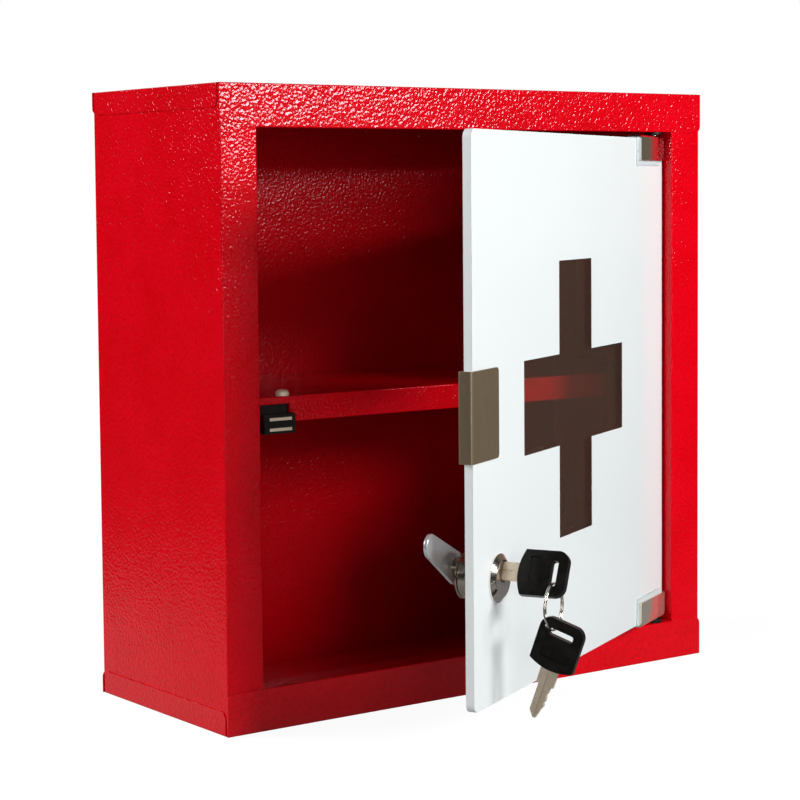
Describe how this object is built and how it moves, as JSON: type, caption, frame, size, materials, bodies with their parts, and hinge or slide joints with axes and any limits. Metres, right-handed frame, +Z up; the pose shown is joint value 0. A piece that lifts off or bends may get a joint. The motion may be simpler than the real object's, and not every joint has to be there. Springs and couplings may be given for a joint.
{
  "type": "lockable medicine cabinet",
  "caption": "Wall-mounted folded-steel medicine cabinet with an inner shelf, a swinging glass door with a clear cross, a magnetic catch and a key-operated cam lock.",
  "frame": {"origin": "centre of the case's base, on the plane it stands on", "axes": "+X to the viewer's right (hinge side), +Y from the door to the wall, +Z up; door drawn 28.25 degrees open"},
  "size_m": [0.3, 0.2584, 0.3014],
  "materials": {
    "red_coat": "fine orange-peel powder coat, semi-gloss",
    "black_plastic": "moulded, slightly satin",
    "dark_magnet": "ground",
    "zinc_steel": "bright zinc",
    "clear_brown_glass": "smooth",
    "white_print": "smooth, glossy",
    "satin_bronze": "satin, fine grain",
    "clear_liner": "smooth",
    "chrome": "polished",
    "black_oxide_steel": "black oxide",
    "nickel": "satin nickel",
    "key_brass": "nickel-washed, worn",
    "ring_steel": "bright wire"
  },
  "bodies": {
    "case": {"body_wrap": "red_coat", "top_cover": "red_coat", "bottom_tray": "red_coat", "shelf": "red_coat", "catch_housing": "black_plastic", "catch_magnet": "dark_magnet", "catch_pole_plates": "zinc_steel", "catch_screw": "zinc_steel", "upper_bush": "black_plastic", "lower_bush": "black_plastic"},
    "door": {"door_glass": "clear_brown_glass", "door_print": "white_print", "handle_clip": "satin_bronze", "handle_liner": "clear_liner", "upper_hinge_clip": "chrome", "lower_hinge_clip": "chrome", "upper_hinge_liner": "clear_liner", "lower_hinge_liner": "clear_liner", "hinge_set_screws": "black_oxide_steel", "lock_barrel": "chrome", "lock_nut": "nickel", "lock_washer": "clear_liner", "lock_back_ring": "black_plastic"},
    "plug": {"lock_plug": "nickel", "lock_cam": "zinc_steel", "cam_screw": "zinc_steel"},
    "key": {"key_blade": "key_brass", "key_head": "black_plastic"},
    "ring": {"key_ring": "ring_steel"},
    "spare_key": {"spare_key_blade": "key_brass", "spare_key_head": "black_plastic"}
  },
  "joints": [
    {"name": "door_hinge", "type": "hinge", "parent": "case", "child": "door", "pos_m": [0.1204, -0.0555, 0.1507], "axis": [0, 0, 1], "range_deg": [-28.25, 81.75]},
    {"name": "lock_turn", "type": "hinge", "parent": "door", "child": "plug", "pos_m": [-0.07137, -0.15854, 0.083], "axis": [-0.4733, 0.8809, 0], "range_deg": [-27.5, 62.5]},
    {"name": "key_pull", "type": "slide", "parent": "plug", "child": "key", "axis": [0.4733, -0.8809, 0], "range_m": [0, 0.018]},
    {"name": "ring_swing", "type": "hinge", "parent": "key", "child": "ring", "pos_m": [-0.06128, -0.18598, 0.07859], "axis": [-0.4733, 0.8809, 0], "range_deg": [-12, 20]},
    {"name": "spare_key_swing", "type": "hinge", "parent": "ring", "child": "spare_key", "pos_m": [-0.05929, -0.18492, 0.05885], "axis": [0.8809, 0.4733, 0], "range_deg": [-25, 20]}
  ]
}
